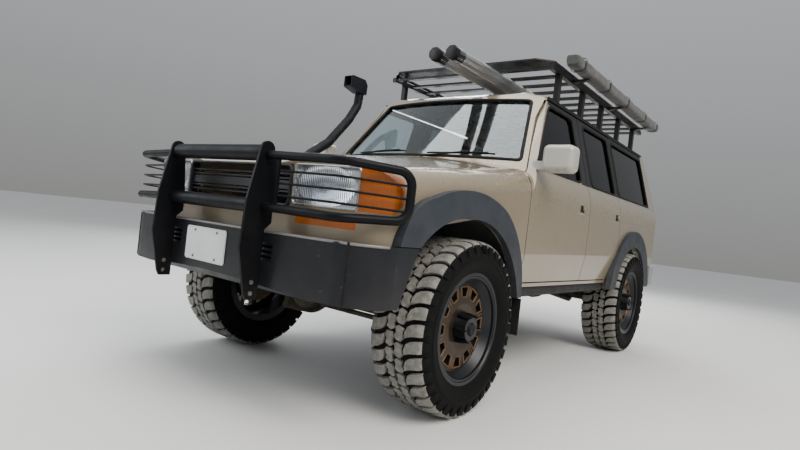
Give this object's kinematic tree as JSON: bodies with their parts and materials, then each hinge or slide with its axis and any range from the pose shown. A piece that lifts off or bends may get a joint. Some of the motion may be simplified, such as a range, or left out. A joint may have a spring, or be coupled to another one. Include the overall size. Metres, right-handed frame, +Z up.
{
  "type": "lifted off-road 4x4 station wagon",
  "caption": "Boxy off-road station wagon on big mud tyres, with brush guard, snorkel, flared arches, roof rack, rod tubes and a rolled awning; doors, lids and steering move.",
  "frame": {"origin": "on the floor, below the middle of the whole length", "axes": "+Z up, -Y to the front of the vehicle, +X to its left side"},
  "size_m": [2.196, 4.895, 2.2349],
  "materials": {
    "paint": "semi-gloss, warm beige",
    "mirror_paint": "semi-gloss, pale cream",
    "black_steel": "satin powder coat",
    "trim_plastic": "grained, faded black",
    "rubber": "matt",
    "tyre": "matt, dusty",
    "bronze": "satin bronze",
    "clear_lens": "fluted clear",
    "amber_lens": "fluted amber",
    "red_lens": "fluted red",
    "window_glass": "tinted",
    "screen_glass": "clear",
    "grille_dark": "satin",
    "plate": "matt, blank",
    "chassis": "satin, dusty",
    "cast": "dusty",
    "aluminium": "ribbed, satin",
    "fabric": "coated cloth",
    "seat_cloth": "woven",
    "steel": "dull"
  },
  "bodies": {
    "body": {"amber_lamps": "amber_lens", "awning_bag": "fabric", "body_shell": "paint", "brush_guard": "black_steel", "chassis_frame": "chassis", "dashboard": "trim_plastic", "driveline": "cast", "engine": "cast", "exhaust": "steel", "flares": "trim_plastic", "floor_pan": "chassis", "front_axle": "cast", "front_bumper": "black_steel", "front_wings": "paint", "fuel_tank": "steel", "glass_cargo": "window_glass", "grille": "grille_dark", "headlamps": "clear_lens", "licence_plate": "plate", "mud_flaps": "rubber", "rear_axle": "cast", "rear_bumper": "black_steel", "rod_tubes": "aluminium", "roof_panel": "paint", "roof_rack": "black_steel", "seats": "seat_cloth", "sills": "trim_plastic", "snorkel": "trim_plastic", "suspension": "chassis", "tail_lamps": "red_lens", "windscreen": "screen_glass"},
    "door_fl": {"door_fl": "paint", "glass_fl": "window_glass", "mirror_l": "mirror_paint"},
    "door_fr": {"door_fr": "paint", "glass_fr": "window_glass", "mirror_r": "mirror_paint"},
    "door_rl": {"door_rl": "paint", "glass_rl": "window_glass"},
    "door_rr": {"door_rr": "paint", "glass_rr": "window_glass"},
    "bonnet": {"bonnet": "paint"},
    "hatch": {"hatch": "paint", "hatch_glass": "window_glass"},
    "tailgate": {"tailgate": "paint"},
    "knuckle_l": {"knuckle_l": "cast"},
    "knuckle_r": {"knuckle_r": "cast"},
    "tie_rod": {"tie_rod": "cast"},
    "wheel_fl": {"tyre_fl": "tyre", "rim_fl": "bronze"},
    "wheel_fr": {"tyre_fr": "tyre", "rim_fr": "bronze"},
    "wheel_rl": {"tyre_rl": "tyre", "rim_rl": "bronze"},
    "wheel_rr": {"tyre_rr": "tyre", "rim_rr": "bronze"}
  },
  "joints": [
    {"name": "steer_l", "type": "hinge", "parent": "body", "child": "knuckle_l", "pos_m": [0.664, -1.4475, 0.444], "axis": [0, 0, 1], "range_deg": [-30, 30]},
    {"name": "steer_r", "type": "hinge", "parent": "body", "child": "knuckle_r", "pos_m": [-0.664, -1.4475, 0.444], "axis": [0, 0, 1], "range_deg": [-30, 30]},
    {"name": "tie_rod_swing", "type": "hinge", "parent": "knuckle_l", "child": "tie_rod", "pos_m": [0.664, -1.2775, 0.339], "axis": [0, 0, 1], "range_deg": [-30, 30]},
    {"name": "roll_fl", "type": "hinge", "parent": "knuckle_l", "child": "wheel_fl", "pos_m": [0.796, -1.4475, 0.444], "axis": [1, 0, 0], "continuous": true},
    {"name": "roll_fr", "type": "hinge", "parent": "knuckle_r", "child": "wheel_fr", "pos_m": [-0.796, -1.4475, 0.444], "axis": [1, 0, 0], "continuous": true},
    {"name": "roll_rl", "type": "hinge", "parent": "body", "child": "wheel_rl", "pos_m": [0.796, 1.4025, 0.444], "axis": [1, 0, 0], "continuous": true},
    {"name": "roll_rr", "type": "hinge", "parent": "body", "child": "wheel_rr", "pos_m": [-0.796, 1.4025, 0.444], "axis": [1, 0, 0], "continuous": true},
    {"name": "open_fl", "type": "hinge", "parent": "body", "child": "door_fl", "pos_m": [0.905, -0.8345, 1.029], "axis": [0, 0, -1], "range_deg": [0, 68]},
    {"name": "open_fr", "type": "hinge", "parent": "body", "child": "door_fr", "pos_m": [-0.905, -0.8345, 1.029], "axis": [0, 0, 1], "range_deg": [0, 68]},
    {"name": "open_rl", "type": "hinge", "parent": "body", "child": "door_rl", "pos_m": [0.905, 0.2025, 1.029], "axis": [0, 0, -1], "range_deg": [0, 68]},
    {"name": "open_rr", "type": "hinge", "parent": "body", "child": "door_rr", "pos_m": [-0.905, 0.2025, 1.029], "axis": [0, 0, 1], "range_deg": [0, 68]},
    {"name": "open_bonnet", "type": "hinge", "parent": "body", "child": "bonnet", "pos_m": [0, -0.9275, 1.385], "axis": [-1, 0, 0], "range_deg": [0, 50]},
    {"name": "open_hatch", "type": "hinge", "parent": "body", "child": "hatch", "pos_m": [0, 2.1665, 1.854], "axis": [1, 0, 0], "range_deg": [0, 80]},
    {"name": "open_tailgate", "type": "hinge", "parent": "body", "child": "tailgate", "pos_m": [0, 2.3175, 0.864], "axis": [-1, 0, 0], "range_deg": [0, 88]}
  ],
  "couplings": [
    {"joint": "steer_r", "follows": "steer_l", "ratio": 1},
    {"joint": "tie_rod_swing", "follows": "steer_l", "ratio": -1}
  ]
}
